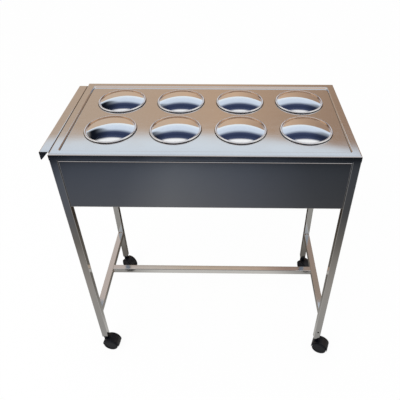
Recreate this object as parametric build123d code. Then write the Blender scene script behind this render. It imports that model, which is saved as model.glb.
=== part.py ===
from build123d import *
import math
import os

# Masala trolley: a stainless worktop with lidded pots, on a tube frame with casters.
# Millimetres. +Z up, +X to the right, -Y to the front. The origin is on the floor, under the
# middle of the worktop.

# Pots and lids
columns = 4
rows = 2
pot_diameter = 118.0
pot_depth = 125.0
pot_wall = 0.8
pot_base_radius = 12.0
pot_flange = 4.2
pot_hole_room = 1.0
lid_sheet = 0.8
lid_rise = 10.0
lid_bead_radius = 2.4
lid_fit = 0.5
lid_ring = 0.8
lid_lift_gap = 0.3

# Worktop
lid_gap_x = 35.5
lid_gap_y = 20.0
margin_left = 37.5
margin_right = 30.0
margin_front = 39.4
margin_back = 20.6
border_left = 20.0
border_right = 20.0
border_front = 17.0
border_back = 19.0
top_height = 844.0
sheet = 1.0
edge_radius = 3.5
skirt_drop = 17.5
deck_sink = 5.0
deck_corner = 9.0
step_draft = 20.0
step_radius = 1.5

# Frame
tube = 20.0
tube_wall = 1.2
tube_corner = 1.7
rail_setback = 5.0
stretcher_height = 195.0

# Apron panels
panel_height = 151.0
panel_gap = 2.5
panel_recess = 1.0
panel_bend = 3.0
panel_lip = 12.0

# Handle on the left end
handle_width = 25.0
handle_lip = 23.0
handle_setback_front = 11.0
handle_setback_back = 19.0
handle_bend = 2.5
gusset_toe = 2.0
rivet_count = 4
rivet_radius = 1.6
rivet_head_radius = 3.2
rivet_head = 1.2
rivet_tail_radius = 2.4
rivet_room = 1.4
rivet_end_margin = 30.0
hole_room = 0.05

# Casters
wheel_diameter = 50.0
wheel_width = 13.2
wheel_shoulder = 4.0
wheel_dish = 1.4
wheel_rim = 4.0
wheel_gap = 0.4
web_width = 13.0
hood_room = 1.2
hood_wall = 2.2
hood_setback = 4.0
hood_skirt = 3.0
hood_edge = 1.0
web_floor_gap = 12.0
caster_trail = 18.0
stem_radius = 4.0
stem_neck = 12.3
stem_head_radius = 5.2
stem_head = 3.0
stem_head_above_axle = 7.0
stem_collar_radius = 7.0
stem_collar = 1.3
stem_in_leg = 28.0
stem_fit = 0.05
swivel_gap = 0.3
boss_radius = 8.5
axle_radius = 3.0
axle_grip = 9.5
axle_fit = 0.05
axle_press = 0.02
axle_end_gap = 0.3
snap_depth = 0.5
snap_width = 1.2
snap_inset = 3.0
snap_room = 0.15
# direction in which each caster trails, in degrees from +X towards +Y
caster_yaw = {
    "front_left": -8.0,
    "front_right": -22.0,
    "rear_left": -38.0,
    "rear_right": -56.0,
}

# Leg inserts and their screws
insert_length = 48.0
insert_flange = 2.0
insert_room = 0.1
screw_height = 38.0
screw_radius = 1.4
screw_length = 9.0
screw_head_radius = 2.8
screw_head = 1.6
# share of a fastener head's height that is rounded
head_round = 0.6

# Worked out from the sizes above
pot_radius = pot_diameter / 2
flange_radius = pot_radius + pot_flange
hole_radius = pot_radius + pot_hole_room
lid_radius = flange_radius + lid_fit + 2 * lid_bead_radius
lid_diameter = 2 * lid_radius
pitch_x = lid_diameter + lid_gap_x
pitch_y = lid_diameter + lid_gap_y
deck_width = margin_left + columns * lid_diameter + (columns - 1) * lid_gap_x + margin_right
deck_depth = margin_front + rows * lid_diameter + (rows - 1) * lid_gap_y + margin_back
top_width = border_left + deck_width + border_right
top_depth = border_front + deck_depth + border_back
half_width = top_width / 2
half_depth = top_depth / 2
deck_x = (border_left - border_right) / 2
deck_y = (border_front - border_back) / 2
deck_z = top_height - deck_sink
skirt_z = top_height - skirt_drop
frame_z = deck_z - sheet
# how far the step's outer face leans in on its way down to the deck
step_run = (deck_sink - sheet / 2) * math.tan(math.radians(step_draft))

leg_x = half_width - tube / 2
leg_y = half_depth - tube / 2
leg_inner_x = leg_x - tube / 2
leg_inner_y = leg_y - tube / 2
rail_tube = tube - rail_setback
panel_z = skirt_z - panel_gap
panel_depth = rail_setback - panel_recess
handle_length = top_depth - handle_setback_front - handle_setback_back
handle_y = (handle_setback_front - handle_setback_back) / 2

wheel_radius = wheel_diameter / 2
hood_inner = wheel_radius + hood_room
hood_radius = hood_inner + hood_wall
leg_end = wheel_radius + hood_radius + stem_neck
wheel_inner_face = web_width / 2 + wheel_gap
caster_half_width = wheel_inner_face + wheel_width
hood_half_width = caster_half_width - hood_setback
insert_z = leg_end - insert_flange
collar_z = insert_z - stem_collar
boss_z = collar_z - swivel_gap
stem_head_z = wheel_radius + stem_head_above_axle

corners = {
    "front_left": (-leg_x, -leg_y),
    "front_right": (leg_x, -leg_y),
    "rear_left": (-leg_x, leg_y),
    "rear_right": (leg_x, leg_y),
}
# the screw of the front right leg is on its front face, the others are on the rear faces
screw_face = {corner: 1 for corner in corners}
screw_face["front_right"] = -1

low_centre = (Align.CENTER, Align.CENTER, Align.MIN)
high_centre = (Align.CENTER, Align.CENTER, Align.MAX)


def rod(radius, start, end):
    """Upright cylinder between two heights."""
    return Pos(0, 0, start) * Cylinder(radius, end - start, align=low_centre)


def pan_head(radius, start, end):
    """Fastener head with a rounded upper edge."""
    return fillet(rod(radius, start, end).edges().sort_by(Axis.Z)[-1], (end - start) * head_round)


def turned(*edges):
    """Solid turned about Z from a closed outline drawn as (radius, height)."""
    return revolve(Plane.XZ * make_face(edges), axis=Axis.Z)


def arc(start, centre, end):
    """Arc about a centre, the short way from start to end."""
    start, centre, end = Vector(*start), Vector(*centre), Vector(*end)
    bisector = ((start - centre) + (end - centre)).normalized()
    return ThreePointArc(start, centre + bisector * (start - centre).length, end)


def pot_places():
    """Row name, column number and centre of each pot."""
    first_x = deck_x - deck_width / 2 + margin_left + lid_radius
    first_y = deck_y - deck_depth / 2 + margin_front + lid_radius
    row_names = ["front", "back"]
    for row in range(rows):
        for column in range(columns):
            yield row_names[row], column + 1, first_x + column * pitch_x, first_y + row * pitch_y


def square_tube(side, length):
    """Square tube along Z from the origin."""
    outside = RectangleRounded(side, side, tube_corner)
    bore = side - 2 * tube_wall
    inside = RectangleRounded(bore, bore, tube_corner - tube_wall)
    return extrude(outside - inside, amount=length)


def leg(corner):
    """Tube leg, flush with the skirt: its outer walls end under it and its inner walls go on up."""
    x, y = corners[corner]
    body = Pos(x, y, leg_end) * square_tube(tube, frame_z - leg_end)
    notch = max(tube_wall, sheet)
    inset = (tube - notch) / 2
    end_wall = Pos(math.copysign(inset, x), 0, 0) * Box(notch, tube, skirt_drop, align=low_centre)
    face_wall = Pos(0, math.copysign(inset, y), 0) * Box(tube, notch, skirt_drop, align=low_centre)
    return body - Pos(x, y, skirt_z) * (end_wall + face_wall) - screw_hole(corner)


def screw_hole(corner):
    """Clearance hole for the insert screw."""
    hole = rod(screw_radius + hole_room, -screw_length - hole_room, screw_head)
    return insert_screw_frame(corner) * hole


def insert_screw_frame(corner):
    """Place on the leg's face, with Z out of the face."""
    x, y = corners[corner]
    side = screw_face[corner]
    return Pos(x, y + side * tube / 2, leg_end + screw_height) * Rot(-90 * side, 0, 0)


def insert_screw(corner):
    """Pan-head screw from the leg's face into the insert."""
    head = pan_head(screw_head_radius, 0, screw_head)
    return insert_screw_frame(corner) * (head + rod(screw_radius, -screw_length, 0))


def level_tube(side, along_x):
    """Level tube that spans the gap between two legs, made at the middle."""
    length = 2 * (leg_inner_x if along_x else leg_inner_y)
    turn = Rot(0, 90, 0) if along_x else Rot(-90, 0, 0)
    return turn * Pos(0, 0, -length / 2) * square_tube(side, length)


def panel(width):
    """Apron panel facing -Y, its top edge at the origin's height and its face at y = 0."""

    def block(shrink, radius):
        size = (width - 2 * shrink, panel_depth, panel_height - 2 * shrink)
        body = Pos(0, shrink, -shrink) * Box(*size, align=(Align.CENTER, Align.MIN, Align.MAX))
        return fillet(body.faces().sort_by(Axis.Y)[0].edges(), radius)

    shell = block(0, panel_bend) - block(sheet, panel_bend - sheet)
    lip_size = (width - 2 * panel_bend, panel_lip - panel_bend, sheet)
    lip = Box(*lip_size, align=(Align.CENTER, Align.MIN, Align.MIN))
    return shell + Pos(0, panel_bend, -panel_height) * lip


def worktop():
    """Folded border with turned-down edges and a step that ends on the deck."""

    def folded(shrink, radius):
        size = (top_width - 2 * shrink, top_depth - 2 * shrink, skirt_drop - shrink)
        body = Pos(0, 0, skirt_z) * Box(*size, align=low_centre)
        return fillet(body.faces().sort_by(Axis.Z)[-1].edges(), radius)

    def dish(grow, top, depth):
        outline = RectangleRounded(deck_width + 2 * grow, deck_depth + 2 * grow, deck_corner + grow)
        return Pos(deck_x, deck_y, top) * extrude(outline, amount=-depth, taper=step_draft)

    shell = folded(0, edge_radius) - folded(sheet, edge_radius - sheet)
    backing = dish(sheet, top_height - sheet / 2, deck_sink - sheet / 2)
    top = shell + backing - dish(0, top_height, deck_sink + sheet)
    border = top.faces().filter_by(Axis.Z).sort_by(Axis.Z)[-1]
    top = fillet(border.inner_wires()[0].edges(), step_radius)
    for y in rivet_places():
        top -= rivet_frame(y) * rod(rivet_radius + hole_room, -2 * sheet, sheet)
    return top


def deck():
    """Flat plate welded under the step, with a hole for each pot."""
    grow = sheet - step_run
    outline = RectangleRounded(deck_width + 2 * grow, deck_depth + 2 * grow, deck_corner + grow)
    plate = Pos(deck_x, deck_y, frame_z) * extrude(outline, amount=sheet)
    for _, _, x, y in pot_places():
        plate -= Pos(x, y, 0) * rod(hole_radius, frame_z, deck_z)
    return plate


def pot():
    """Round pot, its flange seated at height 0."""
    r, w, base, flange = pot_radius, pot_wall, pot_base_radius, flange_radius
    floor = -pot_depth
    bend = (r - base, floor + base)
    return turned(
        Line((0, floor), (r - base, floor)),
        arc((r - base, floor), bend, (r, floor + base)),
        Polyline((r, floor + base), (r, 0), (flange, 0), (flange, w), (r - w, w), (r - w, floor + base)),
        arc((r - w, floor + base), bend, (r - base, floor + w)),
        Polyline((r - base, floor + w), (0, floor + w), (0, floor)),
    )


def lid():
    """Low-domed lid with a rolled rim, its seat on the pot's flange at height 0."""
    dome = flange_radius - lid_ring
    t, rise = lid_sheet, lid_rise
    bead_centre = lid_radius - lid_bead_radius
    sphere = (dome**2 + (rise - t) ** 2) / (2 * (rise - t))
    centre = (0, rise - sphere)
    inner_dome = math.sqrt((sphere - t) ** 2 - centre[1] ** 2)
    shell = turned(
        Line((0, rise - t), (0, rise)),
        arc((0, rise), centre, (dome, t)),
        Polyline((dome, t), (bead_centre, t), (bead_centre, 0), (inner_dome, 0)),
        arc((inner_dome, 0), centre, (0, rise - t)),
    )
    bead_z = lid_lift_gap + lid_bead_radius - pot_wall
    return shell + Pos(0, 0, bead_z) * Torus(bead_centre, lid_bead_radius)


def rivet_places():
    """Y of each handle rivet."""
    span = handle_length - 2 * rivet_end_margin
    return [handle_y - span / 2 + span * i / (rivet_count - 1) for i in range(rivet_count)]


def rivet_frame(y):
    """Place on the outer face of the left skirt, with Z to the left."""
    return Pos(-half_width, y, top_height - (edge_radius + skirt_drop) / 2) * Rot(0, -90, 0)


def handle():
    """Folded handle: fixing flange, grip, lip and triangular end gussets."""
    outer_x = -half_width - handle_width
    rise = max(handle_lip, skirt_drop)

    def channel(shrink, radius):
        size = (handle_width - 2 * shrink, handle_length + 2 * shrink, rise + shrink)
        body = Pos(-half_width - shrink, handle_y, top_height - shrink)
        body *= Box(*size, align=(Align.MAX, Align.CENTER, Align.MAX))
        return fillet(body.edges().filter_by(Axis.Y).group_by(Axis.Z)[-1], radius)

    def below(x, width, z):
        size = (width, handle_length, rise + skirt_drop)
        return Pos(x, handle_y, z) * Box(*size, align=(Align.CENTER, Align.CENTER, Align.MAX))

    body = channel(0, handle_bend) - channel(sheet, handle_bend - sheet)
    body -= below(-half_width, handle_width, skirt_z)
    body -= below(outer_x, handle_width, top_height - handle_lip)
    toe_z = top_height - handle_lip
    inside_x = outer_x + sheet / 2
    gusset = make_face(
        Polyline(
            (inside_x, 0, top_height - sheet / 2),
            (-half_width - gusset_toe, 0, top_height - sheet / 2),
            (inside_x + gusset_toe, 0, toe_z),
            (inside_x, 0, toe_z),
            close=True,
        )
    )
    plate = extrude(gusset, amount=sheet / 2, both=True)
    for end in (-1, 1):
        body += Pos(0, handle_y + end * (handle_length - sheet) / 2, 0) * plate
    for y in rivet_places():
        body -= rivet_frame(y) * rod(rivet_radius + hole_room, -sheet, 2 * sheet)
    return body


def handle_rivet(y):
    """Blind rivet through the handle's flange and the skirt."""
    tail = rail_setback - sheet - rivet_room
    head = pan_head(rivet_head_radius, sheet, sheet + rivet_head)
    shank = rod(rivet_radius, -sheet - tail, sheet + rivet_head / 2)
    return rivet_frame(y) * (head + shank + rod(rivet_tail_radius, -sheet - tail, -sheet))


def leg_insert(corner):
    """Plastic plug in the leg's end, bored for the caster's stem."""
    x, y = corners[corner]
    side = tube - 2 * tube_wall - 2 * insert_room
    plug_outline = RectangleRounded(side, side, tube_corner - tube_wall)
    flange_outline = RectangleRounded(tube, tube, tube_corner)
    body = extrude(plug_outline, amount=insert_flange + insert_length)
    body += extrude(flange_outline, amount=insert_flange)
    body -= rod(stem_radius + axle_press, 0, insert_flange + stem_in_leg + swivel_gap)
    return Pos(x, y, insert_z) * body - screw_hole(corner)


def caster_place(corner):
    """Stem axis on the floor, turned so that X runs along the trail."""
    x, y = corners[corner]
    return Pos(x, y, 0) * Rot(0, 0, caster_yaw[corner])


def caster_stem(corner):
    """Steel stem: fixed in the leg, with a collar over and a head under the hood."""
    stem = rod(stem_radius, stem_head_z, leg_end + stem_in_leg)
    stem += rod(stem_head_radius, stem_head_z, stem_head_z + stem_head)
    stem += rod(stem_collar_radius, collar_z, insert_z)
    return caster_place(corner) * stem


def axle_frame():
    """Middle of the axle in the caster's frame, with Z along the axle."""
    return Pos(caster_trail, 0, wheel_radius) * Rot(-90, 0, 0)


def outwards(side):
    """Turn that points Z out of the caster on the chosen side of its web."""
    return Rot(0, 0, 0) if side > 0 else Rot(180, 0, 0)


def caster_hood(corner):
    """Hood with a middle web that carries the axle and a boss that turns on the stem."""
    drum = axle_frame() * rod(hood_radius, -hood_half_width, hood_half_width)
    drum = fillet(drum.edges().filter_by(GeomType.CIRCLE), hood_edge)
    boss = rod(boss_radius, stem_head_z, boss_z)
    boss = fillet(boss.edges().sort_by(Axis.Z)[-1], hood_edge)
    hood = drum + boss
    room = 2 * hood_radius
    reach = web_width / 2 + room
    for side in (-1, 1):
        hood -= axle_frame() * outwards(side) * rod(hood_inner, web_width / 2, reach)
        side_y = side * (web_width + room) / 2
        below_skirt = Box(2 * room, room, 2 * room, align=high_centre)
        hood -= Pos(caster_trail, side_y, wheel_radius - hood_skirt) * below_skirt
    hood -= Pos(caster_trail, 0, web_floor_gap) * Box(2 * room, 2 * room, room, align=high_centre)
    hood -= rod(stem_radius + stem_fit, 0, leg_end)
    hood -= rod(stem_head_radius + swivel_gap, 0, stem_head_z + stem_head + swivel_gap)
    hood -= axle_frame() * rod(axle_radius + axle_press, -web_width, web_width)
    return caster_place(corner) * hood


def axle_outline(radius, snap, room, end):
    """Half outline of the axle or of the bore on it, from the web's face outwards."""
    at = wheel_inner_face + snap_inset
    groove = radius - snap
    half = snap_width / 2 + room
    low, high = at - half, at + half
    return [(radius, low), (groove, low), (groove, high), (radius, high), (radius, end), (0, end)]


def caster_axle(corner):
    """Axle pressed through the web, with a snap groove for each wheel."""
    half = axle_outline(axle_radius, snap_depth, snap_room, wheel_inner_face + axle_grip)
    pin = turned(Polyline((0, 0), (axle_radius, 0), *half, close=True))
    return caster_place(corner) * axle_frame() * (pin + mirror(pin, about=Plane.XY))


def caster_wheel(corner, side):
    """Wheel that snaps on the axle: tread, rounded shoulder, dished outer face, hollow inner face."""
    inner, outer = wheel_inner_face, caster_half_width
    r, shoulder = wheel_radius, wheel_shoulder
    hub = axle_radius + wheel_rim
    rim = r - wheel_rim
    hollow = inner + wheel_width / 2
    dish = r - shoulder - wheel_rim
    bore_end = inner + axle_grip + axle_end_gap
    bore = axle_outline(axle_radius + axle_fit, snap_depth, -snap_room / 2, bore_end)
    bore_mouth = (axle_radius + axle_fit, inner)
    wheel = turned(
        Polyline(bore_mouth, *bore, (0, outer - wheel_dish), (dish, outer - wheel_dish)),
        Polyline((dish, outer - wheel_dish), (dish + wheel_dish, outer), (r - shoulder, outer)),
        arc((r - shoulder, outer), (r - shoulder, outer - shoulder), (r, outer - shoulder)),
        Polyline((r, outer - shoulder), (r, inner), (rim, inner), (rim, hollow)),
        Polyline((rim, hollow), (hub, hollow), (hub, inner), bore_mouth),
    )
    return caster_place(corner) * axle_frame() * outwards(side) * wheel


def build():
    """Every node by name."""
    nodes = {"worktop": worktop(), "deck": deck(), "side_handle": handle()}
    nodes["handle_rivets"] = Compound([handle_rivet(y) for y in rivet_places()])

    rail_x = leg_inner_x + rail_tube / 2
    rail_y = leg_inner_y + rail_tube / 2
    rail_z = frame_z - rail_tube / 2
    nodes["rail_front"] = Pos(0, -rail_y, rail_z) * level_tube(rail_tube, True)
    nodes["rail_rear"] = Pos(0, rail_y, rail_z) * level_tube(rail_tube, True)
    nodes["rail_left"] = Pos(-rail_x, 0, rail_z) * level_tube(rail_tube, False)
    nodes["rail_right"] = Pos(rail_x, 0, rail_z) * level_tube(rail_tube, False)

    nodes["side_stretcher_left"] = Pos(-leg_x, 0, stretcher_height) * level_tube(tube, False)
    nodes["side_stretcher_right"] = Pos(leg_x, 0, stretcher_height) * level_tube(tube, False)
    nodes["cross_stretcher"] = Pos(0, 0, stretcher_height) * level_tube(tube, True)

    face_x = half_width - panel_recess
    face_y = half_depth - panel_recess
    nodes["panel_front"] = Pos(0, -face_y, panel_z) * panel(2 * leg_inner_x)
    nodes["panel_rear"] = Pos(0, face_y, panel_z) * Rot(0, 0, 180) * panel(2 * leg_inner_x)
    nodes["panel_left"] = Pos(-face_x, 0, panel_z) * Rot(0, 0, -90) * panel(2 * leg_inner_y)
    nodes["panel_right"] = Pos(face_x, 0, panel_z) * Rot(0, 0, 90) * panel(2 * leg_inner_y)

    for row, column, x, y in pot_places():
        nodes[f"pot_{row}_{column}"] = Pos(x, y, deck_z) * pot()
        nodes[f"lid_{row}_{column}"] = Pos(x, y, deck_z + pot_wall) * lid()

    for corner in corners:
        nodes[f"leg_{corner}"] = leg(corner)
        nodes[f"leg_insert_{corner}"] = leg_insert(corner)
        nodes[f"caster_stem_{corner}"] = caster_stem(corner)
        nodes[f"caster_hood_{corner}"] = caster_hood(corner)
        nodes[f"caster_axle_{corner}"] = caster_axle(corner)
        nodes[f"caster_wheel_a_{corner}"] = caster_wheel(corner, 1)
        nodes[f"caster_wheel_b_{corner}"] = caster_wheel(corner, -1)
    nodes["insert_screws"] = Compound([insert_screw(corner) for corner in corners])
    return nodes


def main():
    os.makedirs("parts", exist_ok=True)
    for name, shape in build().items():
        shape.label = name
        export_step(shape, f"parts/{name}.step")


main()
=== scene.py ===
"""Masala trolley: finishes, welds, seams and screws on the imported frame, and its studio."""
import math

import bmesh
import bpy
from bpy.props import FloatProperty, FloatVectorProperty, PointerProperty
from mathutils import Euler, Matrix, Vector


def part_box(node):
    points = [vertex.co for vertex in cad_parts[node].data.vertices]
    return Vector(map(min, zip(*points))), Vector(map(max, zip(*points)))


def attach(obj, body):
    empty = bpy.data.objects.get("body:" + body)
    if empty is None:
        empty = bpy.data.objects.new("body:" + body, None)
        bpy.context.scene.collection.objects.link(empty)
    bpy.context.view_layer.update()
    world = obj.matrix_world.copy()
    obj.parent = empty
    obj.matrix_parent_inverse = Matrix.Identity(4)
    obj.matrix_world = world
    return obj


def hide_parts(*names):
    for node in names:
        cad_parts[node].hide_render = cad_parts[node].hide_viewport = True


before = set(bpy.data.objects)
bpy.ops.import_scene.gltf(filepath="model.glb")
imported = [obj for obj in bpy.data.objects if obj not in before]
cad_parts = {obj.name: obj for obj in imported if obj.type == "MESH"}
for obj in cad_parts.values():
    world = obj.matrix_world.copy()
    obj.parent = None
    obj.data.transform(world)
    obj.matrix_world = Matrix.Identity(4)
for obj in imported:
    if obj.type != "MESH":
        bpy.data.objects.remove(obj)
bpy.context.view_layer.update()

bl_info = {
    "name": "Masala trolley",
    "version": (1, 0, 0),
    "blender": (4, 5, 0),
    "location": "3D View > Sidebar > Trolley",
    "description": "Finishes, welds, seams and screws of the masala trolley, and its studio",
    "category": "Object",
}

MM = 0.001
UP, FRONT, RIGHT = Vector((0, 0, 1)), Vector((0, -1, 0)), Vector((1, 0, 0))
CORNERS = ("front_left", "front_right", "rear_left", "rear_right")
PLACES = [f"{row}_{column}" for row in ("front", "back") for column in (1, 2, 3, 4)]
ARC_STEPS = 6
RIPPLE_STEPS = 6
SCREW_RINGS, SCREW_SIDES = 28, 96
# Sides of each black ring of painted shadow round a lid
SHADOW_RING_SIDES = 120
TENT_ROWS, TENT_COLUMNS = 25, 73
# Degrees to the tent's lowest row, from level
TENT_FOOT = -24

# Inputs and outputs that share their name with others of the same node, by number
VALUE, FROM_MIN, FROM_MAX, TO_MIN, TO_MAX = range(5)
FACTOR, MIX_A, MIX_B, MIX_RESULT = 0, 6, 7, 2
# Values between which a noise texture mostly stays
NOISE_LOW, NOISE_HIGH = 0.3, 0.7
# Length after which a wave texture of scale 1 repeats
WAVE_PERIOD = math.pi / 10
SOFT = {"interpolation_type": "SMOOTHSTEP"}

# Bars of the tent that the steel reflects: degrees from behind, over the top and down to the front
TENT_BARS = {
    # Pale blue over the tan
    36: "#F0F9FF",
    41: "#DDE9F7",
    51: "#D2DEEE",
    # Dark bar
    57.5: "#414B68",
    63: "#303A56",
    70: "#434D6A",
    # White bar
    73: "#FFFFFF",
    116: "#FFFFFF",
    # Grey bar, which the lids show from behind
    130: "#7F8DA2",
    142: "#A3B1C2",
    # White, cream and tan, down to a dark foot
    150: "#F6F7FA",
    156: "#F6F7FA",
    162: "#F0DAC8",
    169: "#D9BFA9",
    177: "#93806F",
    184: "#3A3E46",
}
# Tan of the tent's lower part: share of the tent's radius to the right
TENT_TANS = {-0.5: "#CDB6A0", 0: "#D0B195", 0.5: "#A68A75"}
# Floor cloth: metres from the middle towards the back
FLOOR_DEPTHS = {
    -1.39: "#1B1D22",
    -1.35: "#3A3E45",
    -1.3: "#757B85",
    -0.95: "#7F8185",
    -0.7: "#7A7671",
    -0.45: "#A5A19D",
    -0.25: "#A5A4A2",
    -0.08: "#A3A19D",
    0.08: "#736F6A",
    0.3: "#5F5A53",
    0.5: "#3A332D",
}
# Shade across the floor cloth's front: metres to the right
FLOOR_SIDES = {
    -0.97: "#80838A",
    -0.84: "#C4C8D0",
    -0.5: "#D0D3DA",
    -0.25: "#FFFFFF",
    0.15: "#D6D8DE",
    0.5: "#A8A9AB",
    0.8: "#969696",
}
# Low card behind the trolley: metres to the right
CARD_SIDES = {
    -0.44: "#D4C8C2",
    -0.3: "#DED5CD",
    -0.1: "#DCCAB8",
    0.2: "#D4BDAC",
    0.33: "#AE958B",
    0.48: "#A8988C",
}


def linear(hex_colour):
    """sRGB hex value as linear red, green and blue."""
    shares = [int(hex_colour[i : i + 2], 16) / 255 for i in (1, 3, 5)]
    return [s / 12.92 if s <= 0.04045 else ((s + 0.055) / 1.055) ** 2.4 for s in shares]


def rgba(rgb):
    """Linear colour as a colour input takes it."""
    return (*rgb, 1.0)


def colour(name, hex_colour, description):
    """Colour property, written as sRGB hex."""
    return FloatVectorProperty(
        name=name, description=description, default=linear(hex_colour),
        subtype="COLOR", size=3, min=0, max=1,
    )


def length(name, millimetres, description):
    """Length property, written in millimetres and held in metres."""
    return FloatProperty(
        name=name, description=description, default=millimetres * MM,
        subtype="DISTANCE", unit="LENGTH", min=0,
    )


def share(name, value, description):
    """Property from 0 to 1."""
    return FloatProperty(
        name=name, description=description, default=value, subtype="FACTOR", min=0, max=1
    )


def angle(name, degrees, description):
    """Angle property, written in degrees and held in radians."""
    return FloatProperty(
        name=name, description=description, default=math.radians(degrees),
        subtype="ANGLE", unit="ROTATION",
    )


def point(name, metres, description):
    """Property for a place in the studio."""
    return FloatVectorProperty(
        name=name, description=description, default=metres,
        subtype="TRANSLATION", unit="LENGTH", size=3,
    )


class TrolleyFinishes(bpy.types.PropertyGroup):
    """Colours and roughness of the trolley's materials."""

    sheet: colour("Top sheet", "#DBDCDF", "Rolled stainless steel of the worktop, deck and handle")
    sheet_rough: share("Top sheet roughness", 0.09, "Roughness of the rolled sheet")
    panel: colour("Panels", "#C4C4C5", "Satin stainless steel of the apron panels")
    panel_rough: share("Panel roughness", 0.13, "Roughness of the satin sheet")
    tube: colour("Tube", "#DBDAD8", "Polished stainless steel of the legs, rails and stretchers")
    tube_rough: share("Tube roughness", 0.09, "Roughness of the polished tube")
    lid: colour("Lids", "#F0F1F3", "Mirror-polished stainless steel of the lids")
    lid_rough: share("Lid roughness", 0.05, "Roughness of the polished lids")
    lean_front: share("Front lids' lean", 0.08, "Turn of the front lids' reflections to the front")
    lean_back: share("Back lids' lean", 0.135, "Turn of the back lids' reflections to the front")
    # Tan reflection painted into the groove inside the lids' rims
    groove_reflection: colour("Painted groove reflection", "#C3A48A", "Tan reflection painted in the groove inside the lids' rims")
    pot: colour("Pots", "#CBCAC8", "Spun stainless steel of the pots")
    pot_rough: share("Pot roughness", 0.28, "Roughness of the spun pots")
    heat: colour("Heat tint", "#8A6F55", "Straw and brown that welding leaves on the steel")
    # Dark brown of the lines of painted shade at the deck's ends and beside the handle
    shade_line: colour("Sealant", "#1F1813", "Dark brown sealant in the seams of the top")
    plastic: colour("Black plastic", "#0A0C13", "Moulded nylon of the caster hoods and leg inserts")
    wheel: colour("Wheels", "#0B0E17", "Moulded nylon of the wheels")
    scuff: colour("Scuffs", "#171B26", "Dust and scuffs on the nylon")
    zinc: colour("Plated steel", "#B9BBBD", "Zinc-plated stems and axles")
    rivet: colour("Rivets", "#C9CACB", "Aluminium of the blind rivets")
    screw: colour("Screws", "#1B1B1D", "Blackened steel of the insert screws")


class TrolleyFittings(bpy.types.PropertyGroup):
    """Sizes of the welds, seams and screws."""

    bead: length("Weld bead", 2.6, "Leg length of a fillet weld")
    ripple: length("Weld ripple", 2.4, "Spacing of the ripples along a weld")
    ripple_depth: share("Ripple depth", 0.16, "Height of a ripple as a share of the bead")
    weld_margin: share("Weld margin", 0.12, "Part of the tube's width free at each end of a weld")
    # Seams: dark brown strips of painted shade in the corner at the deck's ends and beside the
    # handle
    seam: length("Seam", 0.65, "Leg length of the sealant where the deck meets the step")
    seam_inset: length("Seam inset", 1.2, "From the deck plate's edge to the foot of the step")
    seam_corner: length("Seam corner", 7.4, "Corner radius of the step's foot")
    step_lean: angle("Step lean", 20, "How far the step leans from upright")
    fold_top: length("Worktop fold", 3.5, "Outer radius of the worktop's folded edge")
    fold_handle: length("Handle fold", 2.5, "Outer radius of the handle's folded edge")
    # Depth of the strip of painted shade in the groove beside the handle
    seam_depth: length("Handle seam depth", 0.7, "From the top to the sealant beside the handle")
    rim: length("Lid rim", 2.4, "Radius of the rolled rim's section")
    # Section of the black ring of painted shadow round each lid
    shadow_ring: length("Lid seal", 0.65, "Radius of the sealing ring's section round each lid")
    screw_radius: length("Screw head radius", 2.8, "Radius of an insert screw's head")
    screw_head: length("Screw head", 1.6, "Height of an insert screw's head")
    shank_radius: length("Screw shank radius", 1.4, "Radius of an insert screw's shank")
    shank: length("Screw shank", 9, "Length of an insert screw's shank")
    recess: length("Screw recess", 1.0, "Depth of the cross recess")
    recess_width: length("Recess width", 0.8, "Width of an arm of the cross recess")
    recess_reach: length("Recess reach", 1.6, "Reach of an arm of the cross recess")


class TrolleyStage(bpy.types.PropertyGroup):
    """Floor, cloths, lights and camera."""

    floor: colour("Floor", "#F4F4F4", "Plain pale floor")
    floor_size: length("Floor size", 24000, "Side of the floor")
    floor_shadow: share("Floor shadow", 0.05, "How much of the shadow shows on the floor")
    tent_radius: length("Tent radius", 2000, "Radius of the tent that the steel reflects")
    tent_height: length("Tent middle", 840, "Height of the tent's middle, at the lids")
    tent_ends: colour("Dark bar's ends", "#12161F", "Black ends of the tent's dark bar")
    tent_sides: colour("Tent sides", "#F4EEE7", "Pale far sides of the tent")
    tan_top: angle("Tan height", 33.8, "Up to which the tent is tan")
    cloth_lift: length("Cloth lift", 2, "Height of the floor cloth over the floor")
    cloth_patch: colour("Cloth patch", "#DAD8D5", "Light patch of the floor cloth")
    cloth_rim: colour("Cloth rim", "#A9ABAE", "Grey rim of the floor cloth")
    card_width: length("Card width", 1400, "Width of the low card behind the trolley")
    card_height: length("Card height", 500, "Height of the low card")
    card_back: length("Card place", 300, "From the middle back to the low card")
    card_level: length("Card level", 570, "Height of the low card's middle")
    card_foot: colour("Card foot", "#7E7164", "Dark foot of the low card")
    world: FloatProperty(name="World light", description="Light from all round", min=0, default=0.9)
    key: FloatProperty(
        name="Key light", description="Large soft lamp", default=26,
        subtype="POWER", unit="POWER", min=0,
    )
    key_size: length("Key light size", 1600, "Side of the key light")
    key_place: point("Key light place", (-1.3, -1.5, 2.4), "Where the key light hangs")
    key_aim: point("Key light aim", (0, 0, 0.4), "What the key light points at")
    camera_place: point("Camera place", (0.0589, -1.0472, 1.4433), "Where the camera stands")
    camera_tilt: angle("Camera tilt", 52.534, "From straight down")
    camera_pan: angle("Camera pan", 0.848, "To the left of straight ahead")
    camera_roll: angle("Camera roll", -0.086, "About the line of sight")
    camera_lens: FloatProperty(
        name="Lens", description="Focal length", default=38.9, subtype="DISTANCE_CAMERA", min=1
    )
    camera_shift: FloatVectorProperty(
        name="Camera shift", description="Framing, in shares of the picture",
        default=(-0.059, -0.0662), size=2,
    )


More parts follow.
